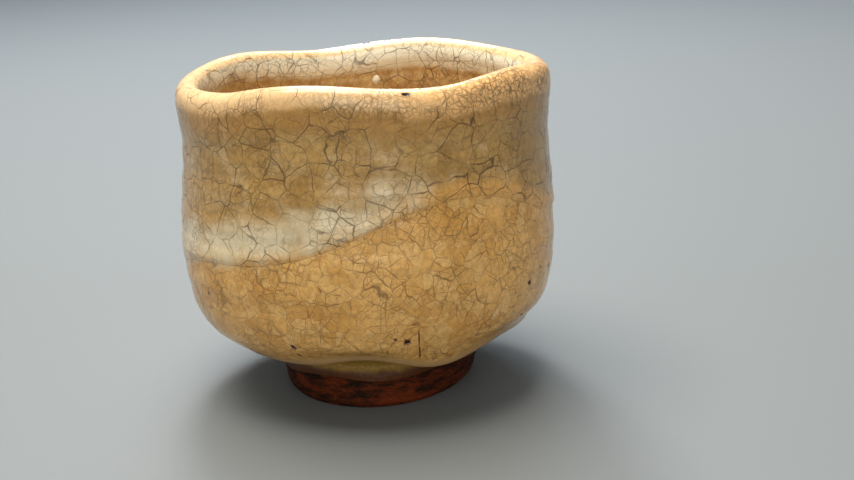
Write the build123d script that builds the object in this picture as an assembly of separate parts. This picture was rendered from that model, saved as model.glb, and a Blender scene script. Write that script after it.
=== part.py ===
"""Half-cylinder stoneware tea bowl, built up coat by coat as the potter made it.

A thrown clay pot stands on a turned foot ring.  A lining glaze covers its inside and an amber
glaze its outside, and a thin run of the amber glaze wets the upper part of the foot.  The rim
was then dipped aslant in a milky glaze, which covers the lip and the walls beside it.  One drop
of that glaze stuck to the inner wall.

Each coat is a closed skin between two sheets, and coats that meet share the sheet between them,
so they touch face to face and none overlaps another.

Millimetres, +Z up.  The origin is on the surface that the bowl stands on, below its middle.
"""

import os
from math import cos, degrees, exp, radians, sin

from build123d import *

# Driving dimensions
RIM_HEIGHT = 96.0  # mean height of the rim's crest
LIP_RADIUS = 54.8
LIP_THICKNESS = 6.4
WALL_THICKNESS = 5.6
BELLY_BULGE = 1.5  # how far the belly stands out past the lip
WAIST_DEPTH = 0.7  # how far the waist, under the lip, is drawn in
SEAT_HEIGHT = 15.5  # where the clay pot sits on its foot
FLOOR_HEIGHT = 18.8  # inside floor, around the tea pool
POOL_DEPTH = 1.2
POOL_RADIUS = 6.0  # flat middle of the tea pool

FOOT_RADIUS = 29.9
FOOT_TOP_RADIUS = 32.0
FOOT_INNER_RADIUS = 23.4
RECESS_DEPTH = 9.4
RECESS_TAPER = 1.4
FOOT_EDGE_EASE = 1.0
POINT_RADIUS = 6.0  # the low turned point inside the foot ring
POINT_HEIGHT = 1.8
POINT_TIP_RADIUS = 0.8
EASE_MIDDLE = 0.3  # share of the ease left at the middle of a rounded edge

# The hand-thrown form is a little out of round, and it leans along X
LEAN_AT_BASE = -0.7
LEAN_AT_RIM = 0.7
FOOT_SHIFT = 1.7
FOOT_BLEND_HEIGHT = 8.0
PLAN_WAVES = ((2, 0.25, 45.0), (3, 0.3, 30.0))  # count, size and azimuth of a peak
RIM_WAVES = ((1, 0.3, 48.0), (2, 1.0, 104.0), (3, 0.4, 28.0), (4, 1.0, 60.0), (6, 0.35, 13.0))
RIM_WAVE_START = 58.0  # the rim's waves fade in above this height
FOOT_WAVES = ((1, 1.3, 235.0), (2, 1.1, 70.0), (3, 0.6, 265.0))  # widest where the bowl stands
FOOT_WAVE_REACH = 20.0  # the foot's waves fade out inside this radius

# Presses of the potter's hands: azimuth, width in degrees and size
RIM_PRESSES = ((130.0, 24.0, -1.3), (293.0, 13.0, -1.0), (226.0, 12.0, -0.8))
LIP_PRESSES = ((192.0, 14.0, 0.4),)
LIP_PRESS_START = 84.0
LIP_PRESS_FULL = 92.0
HIP_PRESSES = ((263.0, 11.0, 2.4), (290.0, 10.0, -1.8), (320.0, 14.0, 1.4))
HIP_PRESS_RISE = 2.0  # the hip's presses fade in over this height above the seat
HIP_PRESS_TOP = 19.0
HIP_PRESS_END = 27.0
HIP_PRESS_START_RADIUS = 34.0  # nothing inside this radius is pressed, so the floor stays level
HIP_PRESS_FULL_RADIUS = 42.0

RING_STEP = 15  # degrees between a ring's points

# The coats of glaze
GLAZE = 0.6
RUN_GLAZE = 0.3
RUN_CORNER = 0.9  # how much of the corner above the foot the run fills
RUN_BELLY_DROP = 2.0  # how far below that corner the run is thin again
MILKY_GLAZE = 0.5
SKIRT_WIDTH = 12.5  # from the foot out to where the amber glaze ends, along the underside
RUN_HEIGHT = 8.4  # lower edge of the run, on the foot
RUN_WAVES = ((2, 0.7, 105.0), (5, 0.8, 20.0))
DIP_DEPTH = 47.6  # lower edge of the milky glaze outside, below the crest
DIP_WAVES = ((1, 9.0, 136.0), (2, 4.4, 17.0), (4, 3.0, 71.0))
INNER_DIP_DEPTH = 9.5  # its lower edge inside, below the crest
INNER_DIP_WAVES = ((1, 1.0, 250.0), (3, 0.9, 100.0))
FEATHER_SHARE = 0.6  # how thick the milky glaze is at its first ring inside each edge
DROP_RADIUS = 1.7
DROP_HEIGHT = 1.2
DROP_AZIMUTH = 85.0
DROP_DEPTH = 13.5  # below the crest
DROP_GAP = 0.02  # between the drop's base and the wall
DROP_STEP = 30
DROP_RISES = (0, 25, 50, 70)  # degrees up the drop's round side, one for each ring

# How many rings shape each sheet
UNDER_RINGS = 5
WALL_RINGS = 16
COAT_RINGS = 12
LIP_RINGS = 8


def waves(series, azimuth):
    """Sum of the cosine waves of a series, at an azimuth in degrees."""
    return sum(size * cos(radians(count * (azimuth - peak))) for count, size, peak in series)


def presses(series, azimuth):
    """Sum of the local presses of a series, at an azimuth in degrees."""
    total = 0
    for peak, width, size in series:
        away = (azimuth - peak + 180) % 360 - 180
        total += size * exp(-0.5 * (away / width) ** 2)
    return total


def smooth(share):
    """A step from 0 to 1 that starts and ends level."""
    held = min(1.0, max(0.0, share))
    return held * held * (3 - 2 * held)


def on_form(radius, height, azimuth):
    """The place in space of a point of the round profile, on the leaning and wandering form."""
    body_x = LEAN_AT_BASE + (LEAN_AT_RIM - LEAN_AT_BASE) * height / RIM_HEIGHT
    middle_x = FOOT_SHIFT + (body_x - FOOT_SHIFT) * smooth((height - SEAT_HEIGHT) / FOOT_BLEND_HEIGHT)
    on_rim = smooth((height - RIM_WAVE_START) / (RIM_HEIGHT - RIM_WAVE_START))
    on_lip = smooth((height - LIP_PRESS_START) / (LIP_PRESS_FULL - LIP_PRESS_START))
    above_seat = smooth((height - SEAT_HEIGHT) / HIP_PRESS_RISE)
    press_width = HIP_PRESS_FULL_RADIUS - HIP_PRESS_START_RADIUS
    above_seat *= smooth((radius - HIP_PRESS_START_RADIUS) / press_width)
    on_hip = above_seat * (1 - smooth((height - HIP_PRESS_TOP) / (HIP_PRESS_END - HIP_PRESS_TOP)))
    on_foot_wall = max(0, 1 - height / SEAT_HEIGHT) * min(1, radius / FOOT_WAVE_REACH)
    reach = radius + waves(PLAN_WAVES, azimuth) * smooth((height - SEAT_HEIGHT) / RIM_HEIGHT)
    reach += presses(LIP_PRESSES, azimuth) * on_lip
    reach += waves(FOOT_WAVES, azimuth) * on_foot_wall
    lift = (waves(RIM_WAVES, azimuth) + presses(RIM_PRESSES, azimuth)) * on_rim
    lift += presses(HIP_PRESSES, azimuth) * on_hip
    turn = radians(azimuth)
    return Vector(reach * cos(turn) + middle_x, reach * sin(turn), height + lift)


def ring(place):
    """A closed smooth curve through the places that a function gives round the form."""
    places = [place(azimuth) for azimuth in range(0, 360, RING_STEP)]
    return Wire([Edge.make_spline(places, periodic=True)])


def outside_profile():
    """The glazed surface from the foot out to the hip and up to the rim's crest."""
    belly, waist = LIP_RADIUS + BELLY_BULGE, LIP_RADIUS - WAIST_DEPTH
    return Spline(
        (FOOT_TOP_RADIUS, 0, SEAT_HEIGHT - GLAZE),
        (36.5, 0, SEAT_HEIGHT + 0.1),
        (41.5, 0, SEAT_HEIGHT + 0.9),
        (45.2, 0, SEAT_HEIGHT + 2.4),
        (48.6, 0, SEAT_HEIGHT + 5.3),
        (52.7, 0, SEAT_HEIGHT + 10.0),
        (belly - 1.0, 0, SEAT_HEIGHT + 17.7),
        (belly, 0, SEAT_HEIGHT + 28.1),
        (belly - 0.7, 0, SEAT_HEIGHT + 40.6),
        (waist + 0.1, 0, RIM_HEIGHT - 26.0),
        (waist, 0, RIM_HEIGHT - 14.5),
        (LIP_RADIUS, 0, RIM_HEIGHT - 4.6),
        (LIP_RADIUS - 0.9, 0, RIM_HEIGHT - 1.3),
        (LIP_RADIUS - LIP_THICKNESS / 2, 0, RIM_HEIGHT),
        tangents=[(1, 0, 0), (-1, 0, 0)],
        tangent_scalars=[1, 1],
    )


def inside_profile():
    """The glazed surface from the crest down to the middle of the tea pool."""
    wall = LIP_RADIUS - WALL_THICKNESS
    lip = LIP_RADIUS - LIP_THICKNESS
    return Spline(
        (LIP_RADIUS - LIP_THICKNESS / 2, 0, RIM_HEIGHT),
        (lip + 0.9, 0, RIM_HEIGHT - 1.3),
        (lip, 0, RIM_HEIGHT - 4.6),
        (wall - WAIST_DEPTH, 0, RIM_HEIGHT - 14.5),
        (wall - WAIST_DEPTH + 0.1, 0, RIM_HEIGHT - 26.0),
        (wall + 0.8, 0, SEAT_HEIGHT + 40.6),
        (wall + BELLY_BULGE - 0.4, 0, SEAT_HEIGHT + 28.1),
        (wall - 1.2, 0, SEAT_HEIGHT + 18.5),
        (44.4, 0, SEAT_HEIGHT + 10.7),
        (37.4, 0, FLOOR_HEIGHT + 2.8),
        (27.0, 0, FLOOR_HEIGHT + 0.5),
        (14.0, 0, FLOOR_HEIGHT - 0.4 * POOL_DEPTH),
        (0, 0, FLOOR_HEIGHT - POOL_DEPTH),
        tangents=[(-1, 0, 0), (-1, 0, 0)],
        tangent_scalars=[1, 1],
    )


def place_on(profile, along, growth, azimuth):
    """A place on a profile, given a share of its length and a growth away from the clay."""
    point = profile.position_at(along)
    heading = profile.tangent_at(along)
    return on_form(point.X + growth * heading.Z, point.Z - growth * heading.X, azimuth)


def rings_between(profile, start, end, growths):
    """Rings from one line on a profile to another, close together near both lines.

    start and end give a line's distance along the profile at an azimuth.  There is one ring
    for each growth.
    """

    def place(azimuth, blend, growth):
        along = start(azimuth) + (end(azimuth) - start(azimuth)) * blend
        return place_on(profile, along / profile.length, growth, azimuth)

    rings = []
    for i, growth in enumerate(growths):
        blend = smooth(i / (len(growths) - 1))
        rings.append(ring(lambda azimuth: place(azimuth, blend, growth)))
    return rings


def sheet(rings):
    """A smooth surface through rings."""
    return Shell.make_loft(rings).faces()


def strip(ring_a, ring_b):
    """A straight strip between two rings."""
    return Shell.make_loft([ring_a, ring_b], ruled=True).faces()


def disc(edge_ring, *holes):
    """The flat surface inside a level ring, less any rings within it."""
    return [Face(edge_ring, list(holes))]


def enclosed(*sheets):
    """The solid between sheets that meet edge to edge."""
    return Solid(Shell([face for faces in sheets for face in faces]))


OUTSIDE = outside_profile()
INSIDE = inside_profile()


# Lines round the form, as distances along the profile from its start


def start_line(azimuth):
    return 0


def skirt_line(azimuth):
    return SKIRT_WIDTH


def outer_dip_line(azimuth):
    return OUTSIDE.length - DIP_DEPTH - waves(DIP_WAVES, azimuth)


def outer_crest_line(azimuth):
    return OUTSIDE.length


def inner_dip_line(azimuth):
    return INNER_DIP_DEPTH + waves(INNER_DIP_WAVES, azimuth)


def pool_line(azimuth):
    return INSIDE.length - POOL_RADIUS


def foot_wall_radius(level):
    """Radius of the foot's outer wall at a level, before its waves."""
    return FOOT_RADIUS + (FOOT_TOP_RADIUS - FOOT_RADIUS) * level / SEAT_HEIGHT


def on_foot(height, growth):
    """A ring round the foot, where height is a function of the azimuth."""
    return ring(
        lambda azimuth: on_form(foot_wall_radius(height(azimuth)) + growth, height(azimuth), azimuth)
    )


def level_ring(radius, height):
    """A ring of the foot at one height."""
    return ring(lambda azimuth: on_form(radius, height, azimuth))


def foot_ring():
    """The turned foot: a wandering ring round a shallow recess with a low point in the middle."""
    ease = FOOT_EDGE_EASE
    outer = [
        level_ring(FOOT_TOP_RADIUS, SEAT_HEIGHT),
        level_ring(foot_wall_radius(ease), ease),
        level_ring(FOOT_RADIUS - EASE_MIDDLE * ease, EASE_MIDDLE * ease),
        level_ring(FOOT_RADIUS - ease, 0),
    ]
    inner = [
        level_ring(FOOT_INNER_RADIUS + ease, 0),
        level_ring(FOOT_INNER_RADIUS + EASE_MIDDLE * ease, EASE_MIDDLE * ease),
        level_ring(FOOT_INNER_RADIUS, ease),
        level_ring(FOOT_INNER_RADIUS - RECESS_TAPER, RECESS_DEPTH),
    ]
    point = [
        level_ring(POINT_RADIUS, RECESS_DEPTH),
        level_ring(POINT_TIP_RADIUS, RECESS_DEPTH - POINT_HEIGHT),
    ]
    slopes = [strip(*pair) for rings in (outer, inner, point) for pair in zip(rings, rings[1:])]
    top, standing_face = disc(outer[0]), disc(outer[-1], inner[0])
    ceiling, tip = disc(inner[-1], point[0]), disc(point[-1])
    return enclosed(top, standing_face, ceiling, tip, *slopes)


def glaze_drop():
    """The drop of milky glaze on the inner wall."""

    def on_wall(reach, growth, turn=0):
        along = DROP_DEPTH + reach * cos(radians(turn))
        azimuth = DROP_AZIMUTH + degrees(reach * sin(radians(turn)) / LIP_RADIUS)
        return place_on(INSIDE, along / INSIDE.length, growth, azimuth)

    def drop_ring(reach, growth):
        places = [on_wall(reach, growth, turn) for turn in range(0, 360, DROP_STEP)]
        return Wire([Edge.make_spline(places, periodic=True)])

    base = Vertex(*on_wall(0, DROP_GAP))
    tip = Vertex(*on_wall(0, DROP_HEIGHT))
    rings = [
        drop_ring(DROP_RADIUS * cos(radians(rise)), DROP_GAP + DROP_HEIGHT * sin(radians(rise)))
        for rise in DROP_RISES
    ]
    return Solid.make_loft([base, *rings, tip], ruled=True)


def build():
    """Every piece of the bowl, by name."""
    clay_under = rings_between(OUTSIDE, start_line, skirt_line, [-GLAZE] * UNDER_RINGS)
    clay_wall = rings_between(OUTSIDE, skirt_line, outer_crest_line, [-GLAZE] * WALL_RINGS)
    clay_lined = rings_between(INSIDE, start_line, pool_line, [-GLAZE] * WALL_RINGS)
    amber = rings_between(OUTSIDE, skirt_line, outer_dip_line, [0] * COAT_RINGS)
    dipped_amber = rings_between(OUTSIDE, outer_dip_line, outer_crest_line, [0] * COAT_RINGS)
    dipped_lining = rings_between(INSIDE, start_line, inner_dip_line, [0] * LIP_RINGS)
    lining = rings_between(INSIDE, inner_dip_line, pool_line, [0] * WALL_RINGS)
    feathered_edge = [0, FEATHER_SHARE * MILKY_GLAZE]
    full_outside = [MILKY_GLAZE] * (COAT_RINGS - 2)
    full_inside = [MILKY_GLAZE] * (LIP_RINGS - 2)
    milky_outside = rings_between(
        OUTSIDE, outer_dip_line, outer_crest_line, feathered_edge + full_outside
    )
    milky_inside = rings_between(
        INSIDE, start_line, inner_dip_line, full_inside + feathered_edge[::-1]
    )

    # The run under the skirt: its sheet leaves the clay at the skirt, fills the corner and
    # thins out down the foot
    on_clay = rings_between(OUTSIDE, start_line, skirt_line, [RUN_GLAZE - GLAZE] * UNDER_RINGS)
    run_under = on_clay[UNDER_RINGS // 2 :]
    corner_height = SEAT_HEIGHT - RUN_CORNER
    run_corner = on_foot(lambda azimuth: corner_height, RUN_CORNER)
    run_foot = on_foot(lambda azimuth: corner_height - RUN_BELLY_DROP, RUN_GLAZE)
    run_edge = on_foot(lambda azimuth: RUN_HEIGHT + waves(RUN_WAVES, azimuth), 0)

    under_sheet, wall_sheet, lined_sheet = sheet(clay_under), sheet(clay_wall), sheet(clay_lined)
    dipped_outside, dipped_inside = sheet(dipped_amber), sheet(dipped_lining)
    crest = strip(clay_wall[-1], dipped_amber[-1])
    pool_clay = disc(clay_lined[-1])
    return {
        "clay_body": enclosed(disc(clay_under[0]), under_sheet, wall_sheet, lined_sheet, pool_clay),
        "foot_ring": foot_ring(),
        "lining_glaze": enclosed(
            crest, lined_sheet, dipped_inside, sheet(lining), disc(lining[-1]), pool_clay
        ),
        "amber_glaze": enclosed(
            strip(clay_wall[0], amber[0]), wall_sheet, sheet(amber), dipped_outside, crest
        ),
        "foot_glaze_run": enclosed(
            strip(clay_under[-1], run_under[-1]),
            under_sheet,
            strip(clay_under[0], run_edge),
            sheet([*run_under[::-1], run_corner, run_foot, run_edge]),
        ),
        "milky_dip_coat": enclosed(
            dipped_outside, dipped_inside, sheet(milky_outside), sheet(milky_inside)
        ),
        "glaze_drop": glaze_drop(),
    }


def main():
    os.makedirs("parts", exist_ok=True)
    for name, piece in build().items():
        print(name, piece.is_valid, len(piece.solids()), round(piece.volume), piece.bounding_box())
        export_step(piece, f"parts/{name}.step")


if __name__ == "__main__":
    main()
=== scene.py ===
"""A hand-thrown stoneware tea bowl: its glazes, bare foot and studio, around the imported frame.

Each coat of glaze is a closed skin of rings.  It is raised ring by ring, subdivided, and laid on
the thrown form, whose throwing lines, dents and pits are real geometry.  Lengths are in
millimetres, and turn to metres as they are written to a mesh.
"""

from __future__ import annotations

import logging
import math
from dataclasses import dataclass, field
from enum import Enum
from typing import Callable

import bpy
import numpy as np
from mathutils import Matrix, Vector, noise


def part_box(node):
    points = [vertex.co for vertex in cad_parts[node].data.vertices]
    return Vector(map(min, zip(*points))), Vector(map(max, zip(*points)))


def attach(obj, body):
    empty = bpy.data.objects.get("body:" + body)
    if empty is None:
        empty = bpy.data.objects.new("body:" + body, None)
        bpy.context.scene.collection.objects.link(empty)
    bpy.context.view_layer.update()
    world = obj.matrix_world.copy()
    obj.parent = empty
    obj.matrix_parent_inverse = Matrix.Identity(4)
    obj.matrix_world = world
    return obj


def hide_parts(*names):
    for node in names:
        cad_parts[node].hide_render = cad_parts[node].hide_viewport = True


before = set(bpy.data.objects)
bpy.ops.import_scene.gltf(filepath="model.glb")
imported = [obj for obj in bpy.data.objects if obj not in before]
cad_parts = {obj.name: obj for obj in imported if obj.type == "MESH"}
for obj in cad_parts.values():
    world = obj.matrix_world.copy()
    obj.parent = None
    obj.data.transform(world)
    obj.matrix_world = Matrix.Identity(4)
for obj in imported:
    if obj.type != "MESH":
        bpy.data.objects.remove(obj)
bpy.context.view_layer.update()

log = logging.getLogger("tea_bowl")
MM = 0.001
BODY = "root"
CURVE_STEPS = 60  # rows read off each span of a profile
FOOT_STEPS = 80  # rows read off the foot's straight side

Socket = bpy.types.NodeSocket
Nodes = bpy.types.NodeTree
Line = Callable[[np.ndarray], np.ndarray]
Outline = tuple[tuple[float, float], ...]


# ---------------------------------------------------------------- the thrown form


@dataclass(frozen=True)
class Wave:
    """One cosine wave round the bowl: how many crests, how high, and where one stands."""

    count: int
    size: float
    peak: float

    def at(self, azimuth: np.ndarray) -> np.ndarray:
        """The wave's value at azimuths in degrees."""
        return self.size * np.cos(np.radians(self.count * (azimuth - self.peak)))


@dataclass(frozen=True)
class Press:
    """One local push of the thrown form: where it is, how wide in degrees, and how far."""

    peak: float
    width: float
    size: float

    def at(self, azimuth: np.ndarray) -> np.ndarray:
        """The push at azimuths in degrees."""
        return self.size * hump(turned_to(azimuth, self.peak), 0.0, self.width)


def ripple(series: tuple[Wave | Press, ...], azimuth: np.ndarray) -> np.ndarray:
    """Sum of waves or presses at azimuths in degrees."""
    return sum(wave.at(azimuth) for wave in series)


def step(value: np.ndarray, low: float, high: float) -> np.ndarray:
    """A smooth step, from 0 at low to 1 at high."""
    share = np.clip((value - low) / (high - low), 0.0, 1.0)
    return share * share * (3 - 2 * share)


def fade(value: np.ndarray, start: float, end: float) -> np.ndarray:
    """A smooth fall, from 1 at the start to 0 at the end."""
    return 1 - step(value, start, end)


def band(value: np.ndarray, start: float, full: float, fading: float, gone: float) -> np.ndarray:
    """A band with soft edges, which rises from start to full and falls from fading to gone."""
    return step(value, start, full) * fade(value, fading, gone)


def hump(value: np.ndarray, middle: float, width: float) -> np.ndarray:
    """A bell of height 1 round a middle value, with the width of its standard deviation."""
    return np.exp(-0.5 * ((value - middle) / width) ** 2)


def turned_to(azimuth: np.ndarray, peak: float) -> np.ndarray:
    """Degrees from an azimuth to a peak, the short way round, from -180 to 180."""
    return (azimuth - peak + 180.0) % 360.0 - 180.0


def near_side(azimuth: np.ndarray, middle: float, full: float, faded: float) -> np.ndarray:
    """A side of the bowl: 1 up to `full` degrees from its middle, 0 past `faded` degrees."""
    return fade(np.abs(turned_to(azimuth, middle)), full, faded)


def smooth_line(points: list[tuple[float, float]], first: tuple, last: tuple) -> np.ndarray:
    """A curve with no kinks through points of a profile.

    Args:
        points: radius and height of each point.
        first: the unit heading at the first point.
        last: the unit heading at the last point.

    Returns:
        Closely spaced rows of radius and height along the curve.
    """
    knots = np.array(points)
    gaps = np.linalg.norm(np.diff(knots, axis=0), axis=1)
    count = len(knots)
    system = np.eye(count)
    slopes = np.zeros_like(knots)
    slopes[0], slopes[-1] = first, last
    for i in range(1, count - 1):
        before, after = gaps[i - 1], gaps[i]
        system[i, i - 1 : i + 2] = after, 2 * (before + after), before
        rise = (knots[i] - knots[i - 1]) / before * after + (knots[i + 1] - knots[i]) / after * before
        slopes[i] = 3 * rise
    slopes = np.linalg.solve(system, slopes)
    rows = []
    for i in range(count - 1):
        t = np.linspace(0, 1, CURVE_STEPS, endpoint=False)[:, None]
        start, end = knots[i], knots[i + 1]
        lead, tail = slopes[i] * gaps[i], slopes[i + 1] * gaps[i]
        cubic = 2 * t**3 - 3 * t**2
        curve = (1 + cubic) * start - cubic * end + (t**3 - 2 * t**2 + t) * lead + (t**3 - t**2) * tail
        rows.append(curve)
    rows.append(knots[-1:])
    return np.vstack(rows)


@dataclass
class ThrownForm:
    """The potter's form: its profile, and how it leans, waves and wanders off round."""

    rim_height: float = 96.0
    lip_radius: float = 54.8
    lip_thickness: float = 6.4
    wall: float = 5.6
    belly_bulge: float = 1.5
    waist_depth: float = 0.7
    seat_height: float = 15.5
    floor_height: float = 18.8
    pool_depth: float = 1.2
    foot_radius: float = 29.9
    foot_top_radius: float = 32.0
    foot_shift: float = 1.7
    foot_blend: float = 8.0
    lean_at_base: float = -0.7
    lean_at_rim: float = 0.7
    rim_wave_start: float = 58.0
    glaze: float = 0.6
    plan_waves: tuple[Wave, ...] = (Wave(2, 0.25, 45.0), Wave(3, 0.3, 30.0))
    rim_waves: tuple[Wave, ...] = (
        Wave(1, 0.3, 48.0),
        Wave(2, 1.0, 104.0),
        Wave(3, 0.4, 28.0),
        Wave(4, 1.0, 60.0),
        Wave(6, 0.35, 13.0),
    )
    rim_presses: tuple[Press, ...] = (
        Press(130.0, 24.0, -1.3),
        Press(293.0, 13.0, -1.0),
        Press(226.0, 12.0, -0.8),
    )
    lip_presses: tuple[Press, ...] = (Press(192.0, 14.0, 0.4),)
    lip_press_start: float = 84.0
    lip_press_full: float = 92.0
    hip_presses: tuple[Press, ...] = (
        Press(263.0, 11.0, 2.4),
        Press(290.0, 10.0, -1.8),
        Press(320.0, 14.0, 1.4),
    )
    hip_press_rise: float = 2.0
    hip_press_top: float = 19.0
    hip_press_end: float = 27.0
    hip_press_start_radius: float = 34.0
    hip_press_full_radius: float = 42.0
    foot_waves: tuple[Wave, ...] = (Wave(1, 1.3, 235.0), Wave(2, 1.1, 70.0), Wave(3, 0.6, 265.0))
    foot_wave_reach: float = 20.0
    throwing_pitch: float = 9.0
    throwing_depth: float = 0.09
    dent_depth: float = 0.45
    dent_rise: float = 26.0
    dents_round: float = 2.1
    inner_dents: float = 3.7

    def __post_init__(self) -> None:
        """Works out the profile once: distance along it, radius, height and heading."""
        foot = np.array([(self.foot_radius, 0.0), (self.foot_top_radius, self.seat_height - self.glaze)])
        t = np.linspace(0, 1, FOOT_STEPS, endpoint=False)[:, None]
        foot_rows = foot[0] * (1 - t) + foot[1] * t
        outside = smooth_line(self.outside_points(), (1, 0), (-1, 0))
        inside = smooth_line(self.inside_points(), (-1, 0), (-1, 0))
        rows = np.vstack([foot_rows, outside, inside[1:]])
        along = np.concatenate([[0], np.cumsum(np.linalg.norm(np.diff(rows, axis=0), axis=1))])
        heading = np.gradient(rows, along, axis=0)
        heading /= np.linalg.norm(heading, axis=1)[:, None]
        self.along = along - along[len(foot_rows)]
        self.rows = rows
        self.heading = heading
        self.crest = self.along[len(foot_rows) + len(outside) - 1]
        self.middle = self.along[-1]

    def outside_points(self) -> list[tuple[float, float]]:
        """Radius and height of the glazed outside, from the foot to the crest."""
        belly, waist = self.lip_radius + self.belly_bulge, self.lip_radius - self.waist_depth
        seat, rim, lip = self.seat_height, self.rim_height, self.lip_radius
        return [
            (self.foot_top_radius, seat - self.glaze),
            (36.5, seat + 0.1),
            (41.5, seat + 0.9),
            (45.2, seat + 2.4),
            (48.6, seat + 5.3),
            (52.7, seat + 10.0),
            (belly - 1.0, seat + 17.7),
            (belly, seat + 28.1),
            (belly - 0.7, seat + 40.6),
            (waist + 0.1, rim - 26.0),
            (waist, rim - 14.5),
            (lip, rim - 4.6),
            (lip - 0.9, rim - 1.3),
            (lip - self.lip_thickness / 2, rim),
        ]

    def inside_points(self) -> list[tuple[float, float]]:
        """Radius and height of the glazed inside, from the crest to the middle of the pool."""
        wall, lip = self.lip_radius - self.wall, self.lip_radius - self.lip_thickness
        seat, rim, floor = self.seat_height, self.rim_height, self.floor_height
        return [
            (self.lip_radius - self.lip_thickness / 2, rim),
            (lip + 0.9, rim - 1.3),
            (lip, rim - 4.6),
            (wall - self.waist_depth, rim - 14.5),
            (wall - self.waist_depth + 0.1, rim - 26.0),
            (wall + 0.8, seat + 40.6),
            (wall + self.belly_bulge - 0.4, seat + 28.1),
            (wall - 1.2, seat + 18.5),
            (44.4, seat + 10.7),
            (37.4, floor + 2.8),
            (27.0, floor + 0.5),
            (14.0, floor - 0.4 * self.pool_depth),
            (0.0, floor - self.pool_depth),
        ]

    def read(self, table: np.ndarray, along: np.ndarray) -> np.ndarray:
        """Reads one column of the profile at distances along it."""
        return np.interp(along, self.along, table)

    def height_at(self, along: np.ndarray) -> np.ndarray:
        """Height of the profile at distances along it."""
        return self.read(self.rows[:, 1], along)

    def section(self, along: np.ndarray, offset: np.ndarray) -> tuple[np.ndarray, np.ndarray]:
        """Radius and height of points that stand off the profile by an offset."""
        radius = self.read(self.rows[:, 0], along) + offset * self.read(self.heading[:, 1], along)
        return radius, self.height_at(along) - offset * self.read(self.heading[:, 0], along)

    def along_at_height(self, height: np.ndarray) -> np.ndarray:
        """Distance along the outside at heights above the foot's base."""
        outside = (self.along >= 0) & (self.along <= self.crest)
        return np.interp(height, self.rows[outside, 1], self.along[outside])

    def height_at_radius(self, radius: np.ndarray) -> np.ndarray:
        """Height of the underside at radii near the foot."""
        under = (self.along >= 0) & (self.along <= 24.0)
        return self.height_at(np.interp(radius, self.rows[under, 0], self.along[under]))

    def relief(self, along: np.ndarray, azimuth: np.ndarray, height: np.ndarray) -> np.ndarray:
        """How far the glazed surface stands off the smooth form, from throwing and handling.

        Args:
            along: distance along the profile from the foot's corner.
            azimuth: azimuth in degrees.
            height: height above the foot's base.

        Returns:
            Offsets outwards from the clay.
        """
        turn = np.radians(azimuth)
        drift = 2.2 * np.sin(turn + 0.6) + 1.1 * np.sin(2 * turn + 2.0)
        lines = np.sin((height + drift) * 2 * math.pi / self.throwing_pitch)
        fine = np.sin((height + 0.6 * drift) * 2 * math.pi / (self.throwing_pitch / 3.1))
        on_wall = band(height, 24.0, 34.0, self.rim_height - 12, self.rim_height - 4)
        ridges = self.throwing_depth * (lines + 0.3 * fine) * on_wall
        inside = along > self.crest
        ridges = np.where(inside, 1.4 * ridges, ridges)
        above_foot = band(along, 2.0, 14.0, self.middle - 24, self.middle - 12)
        return ridges + self.dents(azimuth, height, inside) * above_foot

    def dents(self, azimuth: np.ndarray, height: np.ndarray, inside: np.ndarray) -> np.ndarray:
        """Slow, shallow dents of the wall, from the potter's hands.

        Args:
            azimuth: azimuth in degrees.
            height: height above the foot's base.
            inside: whether each point is inside, where the dents are others.

        Returns:
            Offsets outwards from the clay.
        """
        turn = np.radians(azimuth)
        level = height / self.dent_rise
        side = np.where(inside, self.inner_dents, 0.0)
        many = self.dents_round
        samples = [
            noise.noise(Vector((many * x, many * y, z + s)))
            for x, y, z, s in zip(np.cos(turn), np.sin(turn), level, side)
        ]
        return self.dent_depth * np.array(samples)

    def lay(self, along: np.ndarray, growth: np.ndarray, azimuth: np.ndarray) -> np.ndarray:
        """Places points on the form.

        Args:
            along: distance along the profile from the foot's corner, negative on the foot.
            growth: distance outwards from the glazed surface.
            azimuth: azimuth in degrees.

        Returns:
            Rows of X, Y and Z in millimetres.
        """
        offset = growth + self.relief(along, azimuth, self.height_at(along))
        radius, height = self.section(along, offset)
        return self.on_form(radius, height, azimuth)

    def on_form(self, radius: np.ndarray, height: np.ndarray, azimuth: np.ndarray) -> np.ndarray:
        """Adds the form's lean, lobes, presses and rim waves to points of the round profile.

        Args:
            radius: distance from the bowl's axis.
            height: height above the foot's base.
            azimuth: azimuth in degrees.

        Returns:
            Rows of X, Y and Z in millimetres.
        """
        seat, rim_height = self.seat_height, self.rim_height
        body_x = self.lean_at_base + (self.lean_at_rim - self.lean_at_base) * height / rim_height
        share = step(height, seat, seat + self.foot_blend)
        middle_x = self.foot_shift + (body_x - self.foot_shift) * share
        reach = radius + ripple(self.plan_waves, azimuth) * step(height, seat, seat + rim_height)
        on_lip = step(height, self.lip_press_start, self.lip_press_full)
        reach = reach + ripple(self.lip_presses, azimuth) * on_lip
        on_foot = np.clip(1 - height / seat, 0.0, 1.0)
        off_middle = np.clip(radius / self.foot_wave_reach, 0.0, 1.0)
        reach = reach + ripple(self.foot_waves, azimuth) * on_foot * off_middle
        rim = ripple(self.rim_waves, azimuth) + ripple(self.rim_presses, azimuth)
        lift = rim * step(height, self.rim_wave_start, rim_height)
        on_hip = band(height, seat, seat + self.hip_press_rise, self.hip_press_top, self.hip_press_end)
        on_hip = on_hip * step(radius, self.hip_press_start_radius, self.hip_press_full_radius)
        lift = lift + ripple(self.hip_presses, azimuth) * on_hip
        turn = np.radians(azimuth)
        return np.column_stack([reach * np.cos(turn) + middle_x, reach * np.sin(turn), height + lift])


FORM = ThrownForm()


# ---------------------------------------------------------------- modelling with operators


def only_this(piece: bpy.types.Object) -> None:
    """Makes a piece the only selected object and the active one.

    Args:
        piece: the object to select.
    """
    bpy.ops.object.select_all(action="DESELECT")
    piece.select_set(True)
    bpy.context.view_layer.objects.active = piece


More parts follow.
